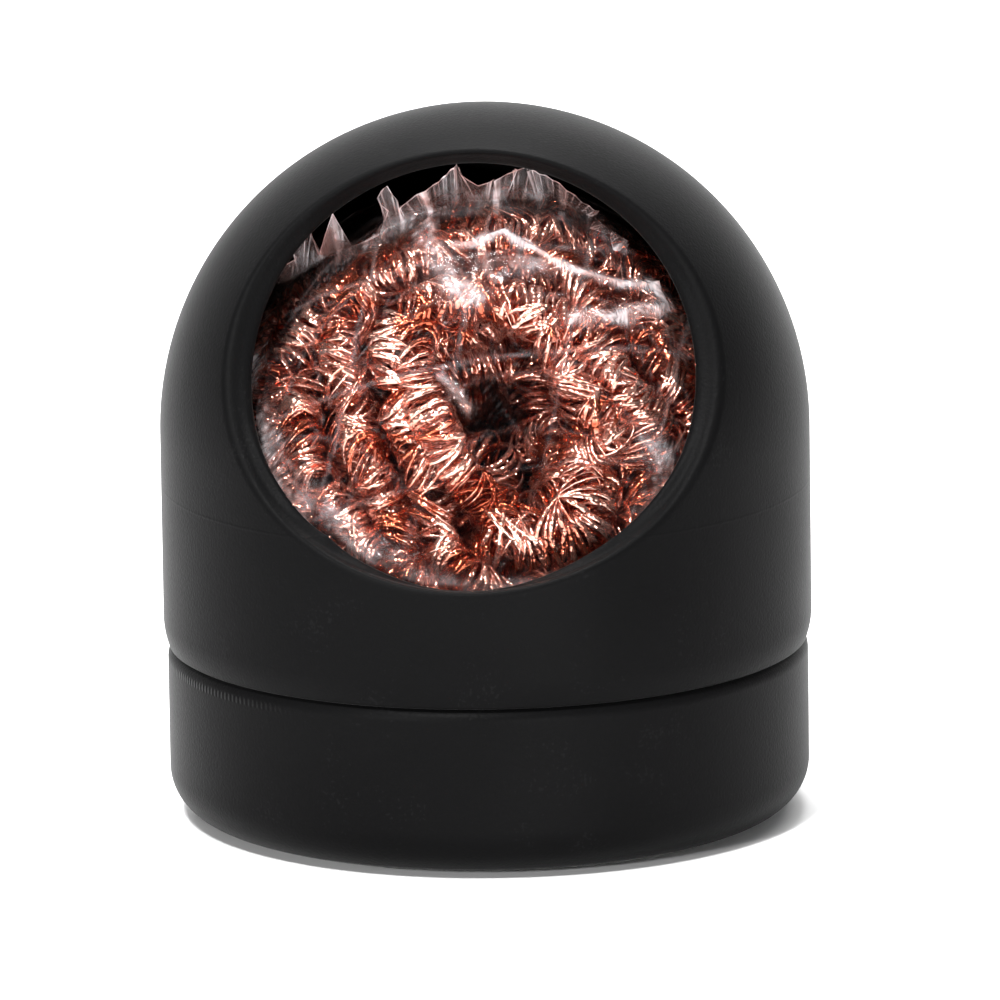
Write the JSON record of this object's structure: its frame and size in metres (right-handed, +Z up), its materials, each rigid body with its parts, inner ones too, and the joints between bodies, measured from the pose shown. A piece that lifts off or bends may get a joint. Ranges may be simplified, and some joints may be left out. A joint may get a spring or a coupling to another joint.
{
  "type": "soldering iron tip cleaning stand",
  "caption": "Dome-shaped bench stand with a slanted round mouth over a ball of curled copper ribbon, seated on a shallow round base cup, for wiping a hot soldering iron's tip.",
  "frame": {"origin": "centre of the resting face, on the bench, on the axis of the dome and the cup", "axes": "+Z up along the axis of the dome and the cup, -Y out of the mouth, +X to the right of someone who looks into the mouth"},
  "size_m": [0.068, 0.068, 0.075],
  "materials": {
    "base_silicone": "satin",
    "dome_silicone": "satin",
    "foot_rubber": "matte",
    "clear_film": "gloss",
    "copper_ribbon": "polished"
  },
  "bodies": {
    "base": {"base_cup": "base_silicone", "foot_ring": "foot_rubber"},
    "sponge": {"ribbon_front": "copper_ribbon", "ribbon_rim": "copper_ribbon", "ribbon_waist": "copper_ribbon", "ribbon_back": "copper_ribbon", "ribbon_heart": "copper_ribbon", "ribbon_root": "copper_ribbon"},
    "film": {"film_bag": "clear_film"},
    "dome": {"dome_cover": "dome_silicone"}
  },
  "joints": [
    {"name": "sponge_lift", "type": "slide", "parent": "base", "child": "sponge", "axis": [0, 0, 1], "range_m": [0, 0.03]},
    {"name": "housing_turn", "type": "hinge", "parent": "sponge", "child": "film", "pos_m": [0, 0, 0.0355], "axis": [0, 0, 1], "continuous": true},
    {"name": "dome_lift", "type": "slide", "parent": "film", "child": "dome", "axis": [0, 0, 1], "range_m": [0, 0.06]}
  ]
}
